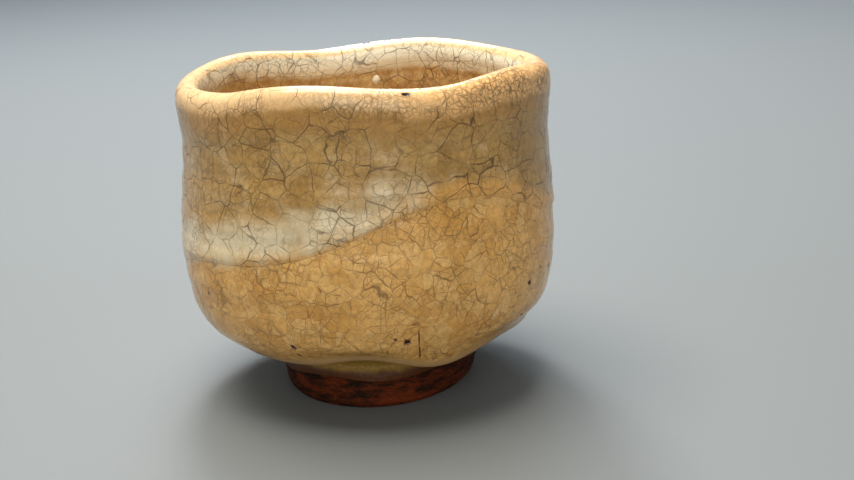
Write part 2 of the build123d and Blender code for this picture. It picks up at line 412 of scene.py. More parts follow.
def refine(piece: bpy.types.Object, levels: int) -> None:
    """Splits every face of a piece evenly, and applies the split.

    Args:
        piece: the object to refine.
        levels: how many times each face is halved each way.
    """
    modifier = piece.modifiers.new("Refine", "SUBSURF")
    modifier.subdivision_type = "SIMPLE"
    modifier.levels = modifier.render_levels = levels
    only_this(piece)
    bpy.ops.object.modifier_apply(modifier=modifier.name)


def raise_rings(name: str, sizes: Outline, closed: bool, around: int) -> bpy.types.Object:
    """Raises a wall of rings from a circle, by extruding, moving and resizing its edge.

    Args:
        name: the piece's name.
        sizes: radius and height of each ring, in millimetres.
        closed: whether the last ring joins the first; otherwise both ends are filled.
        around: number of corners of each ring.

    Returns:
        The new object, with its rings in order.
    """
    bpy.ops.object.select_all(action="DESELECT")
    radius, height = sizes[0]
    bpy.ops.mesh.primitive_circle_add(vertices=around, radius=radius * MM, location=(0, 0, height * MM))
    piece = bpy.context.object
    piece.name = piece.data.name = name
    bpy.ops.object.transform_apply(location=True, rotation=True, scale=True)
    bpy.ops.object.mode_set(mode="EDIT")
    bpy.ops.mesh.select_mode(type="VERT")
    bpy.ops.mesh.select_all(action="SELECT")
    for next_radius, next_height in sizes[1:]:
        rise = (0, 0, (next_height - height) * MM)
        bpy.ops.mesh.extrude_edges_move(TRANSFORM_OT_translate={"value": rise})
        grow = next_radius / radius
        bpy.ops.transform.resize(value=(grow, grow, 1), center_override=(0, 0, next_height * MM))
        radius, height = next_radius, next_height
    if closed:
        bpy.ops.mesh.select_all(action="DESELECT")
        bpy.ops.mesh.select_non_manifold(extend=False)
        bpy.ops.mesh.bridge_edge_loops()
    else:
        bpy.ops.mesh.select_all(action="SELECT")
        bpy.ops.mesh.fill_holes(sides=0)
    bpy.ops.object.mode_set(mode="OBJECT")
    return piece


def set_attribute(piece: bpy.types.Object, name: str, values: np.ndarray) -> None:
    """Writes one number for each vertex, for the materials to read.

    Args:
        piece: the object to mark.
        name: the attribute's name.
        values: one number for each vertex.
    """
    layer = piece.data.attributes.get(name)
    if layer is None:
        layer = piece.data.attributes.new(name, "FLOAT", "POINT")
    layer.data.foreach_set("value", np.ascontiguousarray(values, dtype=np.float32))


def mark_rings(piece: bpy.types.Object, name: str, values: np.ndarray, around: int) -> None:
    """Writes one number for each ring of a piece that raise_rings has just raised."""
    ring_of = np.arange(len(piece.data.vertices)) // around
    set_attribute(piece, name, np.asarray(values)[ring_of])


def get_attribute(piece: bpy.types.Object, name: str) -> np.ndarray:
    """Reads one number for each vertex.

    Args:
        piece: the object to read.
        name: the attribute's name.

    Returns:
        The numbers in the order of the vertices.
    """
    values = np.zeros(len(piece.data.vertices), np.float32)
    piece.data.attributes[name].data.foreach_get("value", values)
    return values.astype(float)


def get_points(piece: bpy.types.Object) -> np.ndarray:
    """The vertices of a piece.

    Args:
        piece: the object to read.

    Returns:
        Rows of X, Y and Z in millimetres.
    """
    flat = np.zeros(len(piece.data.vertices) * 3)
    piece.data.vertices.foreach_get("co", flat)
    return flat.reshape(-1, 3) / MM


def set_points(piece: bpy.types.Object, rows: np.ndarray) -> None:
    """Moves the vertices of a piece to rows in millimetres."""
    piece.data.vertices.foreach_set("co", (rows * MM).ravel())
    piece.data.update()


def azimuth_of(rows: np.ndarray) -> np.ndarray:
    """Azimuths of points round the bowl's axis, in degrees."""
    return np.degrees(np.arctan2(rows[:, 1], rows[:, 0]))


def face_outwards(piece: bpy.types.Object) -> None:
    """Turns every face of a closed piece outwards and shades it smooth.

    Args:
        piece: the object to turn.
    """
    only_this(piece)
    bpy.ops.object.mode_set(mode="EDIT")
    bpy.ops.mesh.select_all(action="SELECT")
    bpy.ops.mesh.normals_make_consistent(inside=False)
    bpy.ops.object.mode_set(mode="OBJECT")
    bpy.ops.object.shade_smooth()


def lumps(rows: np.ndarray, scale: float, seed: float) -> np.ndarray:
    """Soft random lumps of a size in millimetres, from about -1 to 1, one for each point."""
    shift = Vector((seed, 2 * seed, -seed))
    return np.array([noise.noise(Vector(row) + shift) for row in rows / scale])


def distance_to_stroke(rows: np.ndarray, start: np.ndarray, end: np.ndarray) -> np.ndarray:
    """Distance of points from a straight stroke.

    Args:
        rows: the points.
        start: one end of the stroke.
        end: the other end.

    Returns:
        One distance for each point.
    """
    line = end - start
    share = np.clip((rows - start) @ line / max(float(line @ line), 1e-9), 0, 1)
    return np.linalg.norm(rows - start - share[:, None] * line, axis=1)


@dataclass(frozen=True)
class Scar:
    """A pinhole, chip or crack of the glaze: a short stroke on the outside of the form.

    Its start and end are azimuths in degrees and heights.
    """

    start: tuple[float, float]
    end: tuple[float, float]
    radius: float
    depth: float

    def places(self, form: ThrownForm) -> tuple[np.ndarray, np.ndarray, np.ndarray]:
        """Where the scar starts and ends on the glaze, and which way is inwards.

        Args:
            form: the form that it lies on.

        Returns:
            Start, end and inward heading.
        """
        azimuth = np.array([self.start[0], self.end[0]])
        along = form.along_at_height(np.array([self.start[1], self.end[1]]))
        surface = form.lay(along, np.array([0.2, 0.2]), azimuth)
        within = form.lay(along, np.array([-0.8, -0.8]), azimuth)
        return surface[0], surface[1], within[0] - surface[0]


def press_scars(piece: bpy.types.Object, form: ThrownForm, scars: tuple[Scar, ...]) -> None:
    """Refines the glaze round each scar, presses the scar in and marks it for the material.

    Args:
        piece: a coat of glaze.
        form: the form it lies on.
        scars: the scars to press.
    """
    only_this(piece)
    bpy.context.tool_settings.mesh_select_mode = (False, False, True)
    bpy.ops.object.mode_set(mode="EDIT")
    bpy.ops.mesh.select_all(action="DESELECT")
    bpy.ops.object.mode_set(mode="OBJECT")
    centres = np.zeros(len(piece.data.polygons) * 3)
    piece.data.polygons.foreach_get("center", centres)
    centres = centres.reshape(-1, 3) / MM
    near = np.zeros(len(centres), bool)
    for scar in scars:
        start, end, _ = scar.places(form)
        near |= distance_to_stroke(centres, start, end) < 2.2 * scar.radius + 0.6
    piece.data.polygons.foreach_set("select", near)
    bpy.ops.object.mode_set(mode="EDIT")
    bpy.ops.mesh.subdivide(number_cuts=4)
    bpy.ops.object.mode_set(mode="OBJECT")
    rows = get_points(piece)
    wobble = 1 + 0.35 * lumps(rows, 0.8, 5.0)
    mark = np.zeros(len(rows))
    move = np.zeros_like(rows)
    for scar in scars:
        start, end, inward = scar.places(form)
        far = distance_to_stroke(rows, start, end) / (scar.radius * wobble)
        move += fade(far, 0.4, 1.2)[:, None] * scar.depth * inward
        mark = np.maximum(mark, fade(far, 0.5, 2.2))
    set_points(piece, rows + move)
    set_attribute(piece, "scar", mark)


# ---------------------------------------------------------------- finishes

# The places of a colour Mix node's sockets.  A Map Range's inputs 1 to 4 are the range that it
# reads, then the range that it gives.
SHARE, FIRST, SECOND, MIXED = 0, 6, 7, 2
COLOURS = {"data_type": "RGBA"}
SMOOTH = {"interpolation_type": "SMOOTHSTEP"}
TIMES = {"operation": "MULTIPLY"}
TIMES_PLUS = {"operation": "MULTIPLY_ADD"}
LARGER = {"operation": "MAXIMUM"}


def linear(code: str) -> tuple[float, float, float, float]:
    """Turns an sRGB hex colour to linear.

    Args:
        code: six hex digits.

    Returns:
        Linear red, green, blue and an alpha of 1.
    """
    shares = [int(code[i : i + 2], 16) / 255 for i in (0, 2, 4)]
    curve = [c / 12.92 if c <= 0.04045 else ((c + 0.055) / 1.055) ** 2.4 for c in shares]
    return (*curve, 1.0)


def put(tree: Nodes, kind: str, settings: dict, inputs: dict, output: str | int = 0) -> Socket:
    """Adds one node with its settings and links.

    Args:
        tree: the material's nodes.
        kind: the node's type, without its ShaderNode prefix.
        settings: the node's properties.
        inputs: a socket to link, or a value to set, by the name or number of the input.
        output: the name or number of the output to return.

    Returns:
        The output's socket.
    """
    node = tree.nodes.new("ShaderNode" + kind)
    for name, value in settings.items():
        setattr(node, name, value)
    for name, value in inputs.items():
        if isinstance(value, bpy.types.NodeSocket):
            tree.links.new(value, node.inputs[name])
        else:
            node.inputs[name].default_value = value
    return node.outputs[output]


def new_material(name: str) -> tuple[bpy.types.Material, Nodes]:
    """An empty material with nodes.

    Args:
        name: the material's name.

    Returns:
        The material and its nodes.
    """
    material = bpy.data.materials.new(name)
    material.use_nodes = True
    material.node_tree.nodes.clear()
    return material, material.node_tree


def place_in_mm(tree: Nodes) -> Socket:
    """The place on the object, in millimetres."""
    spot = put(tree, "TexCoord", {}, {}, "Object")
    return put(tree, "VectorMath", {"operation": "SCALE"}, {0: spot, "Scale": 1 / MM})


def close_material(tree: Nodes, inputs: dict) -> None:
    """Ends a material in its shader, with the shader's inputs."""
    end = tree.nodes.new("ShaderNodeOutputMaterial")
    tree.links.new(put(tree, "BsdfPrincipled", {}, inputs), end.inputs["Surface"])


def wear(piece: bpy.types.Object, material: bpy.types.Material) -> None:
    """Gives a piece one material."""
    piece.data.materials.clear()
    piece.data.materials.append(material)


@dataclass(frozen=True)
class Crackle:
    """One net of cracks: its cell and line widths in millimetres, and how dark it is.

    It fades out where the slow noise that all nets share is below `fade`.
    """

    cell: float
    line: float
    strength: float
    fade: float

    def lines(self, tree: Nodes, place: Socket, patches: Socket) -> Socket:
        """The net as a mask, darker in some places than in others.

        Args:
            tree: the material's nodes.
            place: the warped place in millimetres.
            patches: a slow noise that strengthens and fades the net.

        Returns:
            A socket from 0 to 1.
        """
        settings = {"feature": "DISTANCE_TO_EDGE"}
        edge = put(tree, "TexVoronoi", settings, {"Vector": place, "Scale": 1 / self.cell}, "Distance")
        half = 0.5 * self.line / self.cell
        limits = {"Value": edge, 1: 0.2 * half, 2: 1.5 * half, 3: self.strength, 4: 0.0}
        net = put(tree, "MapRange", SMOOTH, limits)
        where = {"Value": patches, 1: self.fade - 0.12, 2: self.fade + 0.12, 3: 0.25, 4: 1.0}
        net = put(tree, "Math", TIMES, {0: net, 1: put(tree, "MapRange", SMOOTH, where)})
        breaks = put(tree, "TexNoise", {}, {"Vector": place, "Scale": 1.6 / self.cell, "Detail": 3.0})
        beaded = put(tree, "MapRange", SMOOTH, {"Value": breaks, 1: 0.36, 2: 0.56, 3: 0.5, 4: 1.1})
        return put(tree, "Math", TIMES | {"use_clamp": True}, {0: net, 1: beaded})


@dataclass(frozen=True)
class Zone:
    """One tint over the glaze (some tints are painted shade and painted light): the attribute that marks
    it, its colour and its strength.
    """

    attribute: str
    colour: str
    strength: float


@dataclass(frozen=True)
class CrackledGlaze:
    """A thick crackled stoneware glaze, with tea-stained cracks and tints that follow the coat, some of
    them painted shade and painted light.

    It is a feldspar glaze, glossy as glass but softly uneven.  Its patterns' sizes are in
    millimetres.
    """

    name: str
    pale: str
    middle: str
    deep: str
    crack: str
    nets: tuple[Crackle, ...]
    zones: tuple[Zone, ...]
    stain: str = "9A642A"
    speck: str = "E6CFA0"
    rust: str = "6E3A18"
    pit: str = "120A06"
    speckle: Crackle = Crackle(1.5, 0.42, 0.7, 0.44)
    bend_size: float = 6.5
    bend_reach: float = 3.0
    patch_size: float = 11.0
    cloud_size: float = 16.0
    mottle_size: float = 1.5
    torn_size: float = 7.0
    speck_size: float = 0.9
    melt_size: float = 2.6
    melt_depth: float = 0.07
    groove_depth: float = 0.035
    roughness: float = 0.17
    crack_roughness: float = 0.42
    ior: float = 1.52

    def make(self) -> bpy.types.Material:
        """Builds the material.

        Returns:
            The material.
        """
        material, tree = new_material(self.name)
        place = place_in_mm(tree)
        bent = self.bend(tree, place)
        cracks, fine = self.crack_nets(tree, place, bent)
        colour = self.tint(tree, place, self.ground(tree, place, bent))
        colour = self.draw_cracks(tree, place, colour, cracks, fine)
        height = self.relief(tree, place, cracks)
        limits = {"Value": cracks, 3: self.roughness, 4: self.crack_roughness}
        rough = put(tree, "MapRange", {}, limits)
        bump = put(tree, "Bump", {}, {"Height": height, "Distance": MM, "Strength": 1.0})
        links = {"Base Color": colour, "Roughness": rough, "Normal": bump, "IOR": self.ior}
        close_material(tree, links)
        return material

    def bend(self, tree: Nodes, place: Socket) -> Socket:
        """Bends straight cell edges into the wandering lines of real cracks.

        Args:
            tree: the material's nodes.
            place: the place in millimetres.

        Returns:
            The bent place, shifted to a stretch of the pattern that suits the bowl.
        """
        sizes = {"Vector": place, "Scale": 1 / self.bend_size, "Detail": 2.0}
        wander = put(tree, "TexNoise", {}, sizes, "Color")
        centred = put(tree, "VectorMath", {"operation": "SUBTRACT"}, {0: wander, 1: (0.5, 0.5, 0.5)})
        pushed = put(tree, "VectorMath", {"operation": "SCALE"}, {0: centred, "Scale": self.bend_reach})
        bent = put(tree, "VectorMath", {"operation": "ADD"}, {0: place, 1: pushed})
        return put(tree, "VectorMath", {"operation": "ADD"}, {0: bent, 1: (31.0, 47.0, 12.0)})

    def crack_nets(self, tree: Nodes, place: Socket, bent: Socket) -> tuple[Socket, Socket]:
        """The nets of cracks: all together, and the finest alone.

        Args:
            tree: the material's nodes.
            place: the place in millimetres.
            bent: the same place, bent.

        Returns:
            Two sockets from 0 to 1.
        """
        patches = put(tree, "TexNoise", {}, {"Vector": place, "Scale": 1 / self.patch_size, "Detail": 3.0})
        nets = [net.lines(tree, bent, patches) for net in self.nets]
        total = nets[0]
        for net in nets[1:]:
            total = put(tree, "Math", LARGER, {0: total, 1: net})
        hip = put(tree, "Attribute", {"attribute_name": "hip"}, {}, "Fac")
        calm = put(tree, "MapRange", SMOOTH, {"Value": hip, 1: 0.15, 2: 0.75, 3: 1.0, 4: 0.0})
        total = put(tree, "Math", TIMES, {0: total, 1: calm})
        where = put(tree, "Attribute", {"attribute_name": "speckle"}, {}, "Fac")
        dots = put(tree, "Math", TIMES, {0: self.speckle.lines(tree, bent, patches), 1: where})
        return put(tree, "Math", LARGER, {0: total, 1: dots}), nets[-1]

    def ground(self, tree: Nodes, place: Socket, bent: Socket) -> Socket:
        """The glaze's own colour: slow clouds, a tint for each cell, and small mottling.

        Args:
            tree: the material's nodes.
            place: the place in millimetres.
            bent: the same place, bent.

        Returns:
            The colour.
        """
        cloud = put(tree, "TexNoise", {}, {"Vector": place, "Scale": 1 / self.cloud_size, "Detail": 4.0})
        sizes = {"Vector": place, "Scale": 1 / self.mottle_size, "Detail": 6.0, "Roughness": 0.75}
        mottle = put(tree, "TexNoise", {}, sizes)
        cells = put(tree, "TexVoronoi", {}, {"Vector": bent, "Scale": 1 / self.nets[1].cell}, "Color")
        tint = put(tree, "SeparateColor", {}, {0: cells})
        sway = put(tree, "MapRange", SMOOTH, {"Value": cloud, 1: 0.36, 2: 0.64})
        inputs = {SHARE: sway, FIRST: linear(self.deep), SECOND: linear(self.middle)}
        colour = put(tree, "Mix", COLOURS, inputs, MIXED)
        some = put(tree, "MapRange", {}, {"Value": tint, 1: 0.3, 2: 1.0, 3: 0.0, 4: 0.5})
        inputs = {SHARE: some, FIRST: colour, SECOND: linear(self.pale)}
        colour = put(tree, "Mix", COLOURS, inputs, MIXED)
        grain = put(tree, "MapRange", {}, {"Value": mottle, 1: 0.3, 2: 0.7, 3: 0.70, 4: 1.24})
        return put(tree, "VectorMath", {"operation": "SCALE"}, {0: colour, "Scale": grain})

    def tint(self, tree: Nodes, place: Socket, colour: Socket) -> Socket:
        """Lays the coat's tints, painted shade and painted light among them, over the ground, each with a
        ragged edge.

        Args:
            tree: the material's nodes.
            place: the place in millimetres.
            colour: the ground's colour.

        Returns:
            The tinted colour.
        """
        ragged = put(tree, "TexNoise", {}, {"Vector": place, "Scale": 1 / self.torn_size, "Detail": 5.0})
        for zone in self.zones:
            mask = put(tree, "Attribute", {"attribute_name": zone.attribute}, {}, "Fac")
            torn = put(tree, "Math", TIMES_PLUS, {0: ragged, 1: 1.1, 2: mask})
            limits = {"Value": torn, 1: 0.65, 2: 1.45, 3: 0.0, 4: zone.strength}
            share = put(tree, "MapRange", SMOOTH, limits)
            inputs = {SHARE: share, FIRST: colour, SECOND: linear(zone.colour)}
            colour = put(tree, "Mix", COLOURS, inputs, MIXED)
        return colour

    def draw_cracks(
        self, tree: Nodes, place: Socket, colour: Socket, cracks: Socket, fine: Socket
    ) -> Socket:
        """Draws the cracks, the stain beside them, pale specks, and the scars.

        Args:
            tree: the material's nodes.
            place: the place in millimetres.
            colour: the tinted colour.
            cracks: all the nets.
            fine: the finest net alone.

        Returns:
            The finished colour.
        """
        dots = put(tree, "TexNoise", {}, {"Vector": place, "Scale": 1 / self.speck_size, "Detail": 2.0})
        scar = put(tree, "Attribute", {"attribute_name": "scar"}, {}, "Fac")
        layers = (
            (put(tree, "Math", TIMES, {0: fine, 1: 0.35}), self.stain),
            (cracks, self.crack),
            (put(tree, "MapRange", SMOOTH, {"Value": dots, 1: 0.68, 2: 0.76, 3: 0.0, 4: 0.5}), self.speck),
            (put(tree, "MapRange", SMOOTH, {"Value": scar, 1: 0.05, 2: 0.6, 3: 0.0, 4: 0.7}), self.rust),
            (put(tree, "MapRange", SMOOTH, {"Value": scar, 1: 0.6, 2: 0.95}), self.pit),
        )
        for share, code in layers:
            colour = put(tree, "Mix", COLOURS, {SHARE: share, FIRST: colour, SECOND: linear(code)}, MIXED)
        return colour

    def relief(self, tree: Nodes, place: Socket, cracks: Socket) -> Socket:
        """The height of the softly uneven melt, less the grooves along the cracks.

        Args:
            tree: the material's nodes.
            place: the place in millimetres.
            cracks: all the nets.

        Returns:
            The height in millimetres.
        """
        melt = put(tree, "TexNoise", {}, {"Vector": place, "Scale": 1 / self.melt_size, "Detail": 2.0})
        melt = put(tree, "Math", TIMES, {0: melt, 1: self.melt_depth})
        return put(tree, "Math", TIMES_PLUS, {0: cracks, 1: -self.groove_depth, 2: melt})


@dataclass(frozen=True)
class FootClay:
    """Bare iron-bearing stoneware, fired dark red-brown, with grit and scorched patches.

    It is dry and matt, so it hardly shines.  Its patterns' sizes are in millimetres.
    """

    name: str = "bare iron clay"
    red: str = "66290C"
    dark: str = "221006"
    grit: str = "7A4A24"
    scorch_size: float = 11.0
    grit_size: float = 1.3
    grit_height: float = 0.25
    roughness: float = 0.78
    specular: float = 0.15

    def make(self) -> bpy.types.Material:
        """Builds the material.

        Returns:
            The material.
        """
        material, tree = new_material(self.name)
        # turning draws the patches out round the foot
        turned = {0: place_in_mm(tree), 1: (1.0, 1.0, 3.2)}
        place = put(tree, "VectorMath", TIMES, turned)
        sizes = {"Vector": place, "Scale": 1 / self.scorch_size, "Detail": 7.0, "Roughness": 0.7}
        scorch = put(tree, "TexNoise", {}, sizes)
        share = put(tree, "MapRange", SMOOTH, {"Value": scorch, 1: 0.40, 2: 0.60})
        inputs = {SHARE: share, FIRST: linear(self.dark), SECOND: linear(self.red)}
        colour = put(tree, "Mix", COLOURS, inputs, MIXED)
        dots = put(tree, "TexNoise", {}, {"Vector": place, "Scale": 1 / self.grit_size, "Detail": 4.0})
        grit = put(tree, "MapRange", SMOOTH, {"Value": dots, 1: 0.64, 2: 0.74, 3: 0.0, 4: 0.5})
        inputs = {SHARE: grit, FIRST: colour, SECOND: linear(self.grit)}
        colour = put(tree, "Mix", COLOURS, inputs, MIXED)
        grain = put(tree, "MapRange", {}, {"Value": dots, 1: 0.3, 2: 0.7, 3: 0.7, 4: 1.25})
        colour = put(tree, "VectorMath", {"operation": "SCALE"}, {0: colour, "Scale": grain})
        height = put(tree, "Math", TIMES, {0: dots, 1: self.grit_height})
        bump = put(tree, "Bump", {}, {"Height": height, "Distance": MM})
        links = {"Base Color": colour, "Roughness": self.roughness, "Normal": bump}
        close_material(tree, links | {"Specular IOR Level": self.specular})
        return material


@dataclass(frozen=True)
class ThinGlaze:
    """A thin, olive-brown run of glaze over the clay, thicker where it gathered.

    It is a satin glass that lets the clay's colour through.  Its patterns' sizes are in
    millimetres.
    """

    name: str = "thin olive run"
    thick: str = "A07C34"
    thin: str = "5A3212"
    cloud_size: float = 4.0
    grain_size: float = 0.8
    grain_height: float = 0.12
    roughness: float = 0.3
    ior: float = 1.5

    def make(self) -> bpy.types.Material:
        """Builds the material.

        Returns:
            The material.
        """
        material, tree = new_material(self.name)
        place = place_in_mm(tree)
        cloud = put(tree, "TexNoise", {}, {"Vector": place, "Scale": 1 / self.cloud_size, "Detail": 5.0})
        depth = put(tree, "Attribute", {"attribute_name": "gather"}, {}, "Fac")
        torn = put(tree, "Math", TIMES_PLUS, {0: cloud, 1: 0.7, 2: depth})
        share = put(tree, "MapRange", SMOOTH, {"Value": torn, 1: 0.5, 2: 1.2})
        inputs = {SHARE: share, FIRST: linear(self.thin), SECOND: linear(self.thick)}
        colour = put(tree, "Mix", COLOURS, inputs, MIXED)
        fine = put(tree, "TexNoise", {}, {"Vector": place, "Scale": 1 / self.grain_size, "Detail": 3.0})
        grain = put(tree, "MapRange", {}, {"Value": fine, 1: 0.3, 2: 0.7, 3: 0.75, 4: 1.2})
        colour = put(tree, "VectorMath", {"operation": "SCALE"}, {0: colour, "Scale": grain})
        height = put(tree, "Math", TIMES, {0: fine, 1: self.grain_height})
        bump = put(tree, "Bump", {}, {"Height": height, "Distance": MM})
        links = {"Base Color": colour, "Roughness": self.roughness, "Normal": bump, "IOR": self.ior}
        close_material(tree, links)
        return material


@dataclass(frozen=True)
class StudioPaper:
    """Matt pale grey paper for the floor and backdrop."""

    name: str = "studio paper"
    colour: str = "6F7373"
    roughness: float = 0.6

    def make(self) -> bpy.types.Material:
        """Builds the material.

        Returns:
            The material.
        """
        material, tree = new_material(self.name)
        close_material(tree, {"Base Color": linear(self.colour), "Roughness": self.roughness})
        return material


Finish = CrackledGlaze | FootClay | ThinGlaze | StudioPaper


# ---------------------------------------------------------------- the bowl's pieces


class Slot(Enum):
    """The record's material slots."""

    CLAY = "iron_clay"
    AMBER = "amber_glaze"
    LINING = "lining_glaze"
    MILKY = "milky_glaze"
    THIN = "thin_glaze"


@dataclass
class Piece:
    """One piece of the bowl, which stands for one CAD node."""

    node: str
    slot: Slot
    form: ThrownForm
    mesh: bpy.types.Object | None = field(default=None, init=False)

    def dress(self, finish: Finish) -> None:
        """Gives the piece its finish."""
        wear(self.mesh, finish.make())

    def place_in_frame(self) -> None:
        """Hangs the finished piece on the frame and reports it."""
        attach(self.mesh, BODY)
        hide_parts(self.node)
        low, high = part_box(self.node)
        rows = get_points(self.mesh)
        under = np.round(rows.min(0) - np.array(low) / MM, 2)
        over = np.round(rows.max(0) - np.array(high) / MM, 2)
        faces = len(self.mesh.data.polygons)
        log.info("%s: %d faces, off its box by %s and %s mm", self.mesh.name, faces, under, over)


@dataclass
class Coat(Piece):
    """A closed coat of glaze between lines round the form.

    A station is a place between the lines: 0 on the first, 1 on the second, and so on.  The top
    and the under skin are rings at stations.
    """

    title: str
    lines: tuple[Line, ...]
    top: tuple[float, ...]
    under: tuple[float, ...]
    closed: bool = True
    thickness: float = 0.6
    lift: float = 0.0
    around: int = 48
    levels: int = 3
    smallest_ring: float = 0.4
    scars: tuple[Scar, ...] = ()

    def along_at(self, station: np.ndarray, azimuth: np.ndarray) -> np.ndarray:
        """Distance along the profile of stations between the coat's lines.

        Args:
            station: 0 on the first line, 1 on the second, and so on.
            azimuth: azimuth in degrees.

        Returns:
            Distances in millimetres.
        """
        table = np.array([line(azimuth) for line in self.lines])
        span = np.clip(station.astype(int), 0, len(table) - 2)
        index = np.arange(len(azimuth))
        first, second = table[span, index], table[span + 1, index]
        return first + (second - first) * (station - span)

    def growth(self, side: np.ndarray, along: np.ndarray, azimuth: np.ndarray) -> np.ndarray:
        """How far the coat's skin stands off the glazed surface."""
        return self.lift - self.thickness * (1 - side)

    def build(self) -> None:
        """Raises the coat's rings, refines them and lays them on the form."""
        outer = [(station, 1.0) for station in self.top]
        inner = [(station, 0.0) for station in self.under]
        if self.closed:
            outer[0], outer[-1] = (self.top[0], 0.5), (self.top[-1], 0.5)
            rings = outer + inner
        else:
            rings = inner + outer
        station, side = np.array(rings).T
        front = np.zeros(len(rings))
        along = self.along_at(station, front)
        radius, height = self.form.section(along, self.growth(side, along, front))
        sizes = [(max(float(r), self.smallest_ring), float(h)) for r, h in zip(radius, height)]
        self.mesh = raise_rings(self.title, sizes, self.closed, self.around)
        mark_rings(self.mesh, "station", station, self.around)
        mark_rings(self.mesh, "side", side, self.around)
        refine(self.mesh, self.levels)
        azimuth = azimuth_of(get_points(self.mesh))
        along = self.along_at(get_attribute(self.mesh, "station"), azimuth)
        growth = self.growth(get_attribute(self.mesh, "side"), along, azimuth)
        set_points(self.mesh, self.form.lay(along, growth, azimuth))
        self.mark_zones(along, azimuth)
        if self.scars:
            press_scars(self.mesh, self.form, self.scars)
        face_outwards(self.mesh)

    def mark_zones(self, along: np.ndarray, azimuth: np.ndarray) -> None:
        """Marks where the coat's tints lie, painted shade and painted light among them, by distances from
        the crest and the dipped line.

        Args:
            along: distance along the profile of each vertex.
            azimuth: azimuth of each vertex in degrees.
        """
        height = self.form.height_at(along)
        outside = along < self.form.crest
        past = along - self.form.crest
        above = along - outer_dip(azimuth)
        left = near_side(azimuth, 212.5, 46.0, 88.0)
        # the front right side, where the rim is more speckled and more orange; its brighter orange is
        # partly painted light
        right = hump(turned_to(azimuth, 330.0), 0.0, 42.0)
        blur = 1.8 + 4.0 * near_side(azimuth, 200.0, 42.0, 70.0)
        width = 8.0 + 3.0 * left
        risen = step(above, -0.6 * blur, 0.7 * blur)
        gone = 0.75 * step(above, 0.6 * width, 1.5 * width)
        veil = risen * (1 - gone) * (0.12 + 0.58 * left)
        # the milky veil inside, with painted shade: it is made fainter towards the left and the front
        inner_veil_with_painted_shade = fade(past, 8.0, 12.0) * (0.6 + 0.4 * near_side(azimuth, 25.0, 80.0, 120.0))
        rim = band(-past, -1.5, 1.5, 7.0, 11.0)
        line = hump(-past, 6.0, 1.3)
        marks = {
            "veil": np.where(outside, veil, inner_veil_with_painted_shade),
            # partly real, partly painted light: the milky glaze inside the rim, made paler than the veil
            # so the inner wall looks lit
            "inner_milk_and_painted_light": inner_veil_with_painted_shade * step(past, 2.0, 5.0),
            "undipped": fade(above, 0.0, 9.0) * outside,
            # pale glaze over the lip, lightened further as painted light on the rim's top
            "lip": fade(-past, 4.5, 8.0) * fade(past, 2.0, 4.5),
            # painted shade: a darker band on the outer wall just under the lip
            "painted_underlip_shade": band(-past, 5.0, 8.0, 9.0, 17.0) * outside,
            "hip": fade(height, 18.5, 22.0) * outside,
            "speckle": np.maximum(rim * (0.25 + 0.75 * right), 0.8 * line) * outside,
            # orange glaze along the rim, brighter towards the front right: partly real colour, partly
            # painted light
            "rust": np.maximum(rim * right, 0.45 * line) * outside,
            "shade": near_side(azimuth, 30.0, 50.0, 100.0) * step(above, 2.0, 10.0),
        }
        for name, values in marks.items():
            set_attribute(self.mesh, name, values)


def skirt(azimuth: np.ndarray) -> np.ndarray:
    """The lower edge of the amber coat, as distance along the profile."""
    return np.full_like(azimuth, 12.5)


def crest(azimuth: np.ndarray) -> np.ndarray:
    """The crest of the rim, as distance along the profile."""
    return np.full_like(azimuth, FORM.crest)


def pool_middle(azimuth: np.ndarray) -> np.ndarray:
    """The middle of the tea pool, as distance along the profile."""
    return np.full_like(azimuth, FORM.middle - 0.8)


def outer_dip(azimuth: np.ndarray) -> np.ndarray:
    """The line outside that the bowl was dipped to, as distance along the profile."""
    waves = (Wave(1, 9.0, 136.0), Wave(2, 4.4, 17.0), Wave(4, 3.0, 71.0))
    return FORM.crest - 47.6 - ripple(waves, azimuth)


def inner_dip(azimuth: np.ndarray) -> np.ndarray:
    """The line inside that the milky glaze ran down to, as distance along the profile."""
    waves = (Wave(1, 1.0, 250.0), Wave(3, 0.9, 100.0))
    return FORM.crest + 9.5 + ripple(waves, azimuth)


@dataclass
class AmberCoat(Coat):
    """The amber coat of the outside, with a rolled bead round its skirt."""

    bead: float = 0.28
    bead_width: float = 1.5
    rounding: float = 0.45

    def growth(self, side: np.ndarray, along: np.ndarray, azimuth: np.ndarray) -> np.ndarray:
        """How far the coat's skin stands off the glazed surface, with the skirt's bead.

        Args:
            side: 0 on the under skin, 1 on the top.
            along: distance along the profile.
            azimuth: azimuth in degrees.

        Returns:
            Distances outwards.
        """
        from_skirt = along - skirt(azimuth)
        bead = self.bead * hump(from_skirt, 0.8 * self.bead_width, self.bead_width)
        rounding = self.rounding * fade(from_skirt, -0.2, 0.7)
        return side * (bead - rounding) - self.thickness * (1 - side)


@dataclass
class MilkyCoat(Coat):
    """The milky dip over the rim, feathered out along both its edges."""

    feather: float = 2.4
    sunk: float = 0.08

    def growth(self, side: np.ndarray, along: np.ndarray, azimuth: np.ndarray) -> np.ndarray:
        """How far the coat's skin stands off the amber, thinning out towards its edges.

        Args:
            side: 0 on the under skin, 1 on the top.
            along: distance along the profile.
            azimuth: azimuth in degrees.

        Returns:
            Distances outwards.
        """
        edge = np.minimum(along - outer_dip(azimuth), inner_dip(azimuth) - along)
        full = self.lift * (0.25 + 0.75 * step(edge, -0.5, self.feather))
        return side * full - self.sunk * (1 - side)


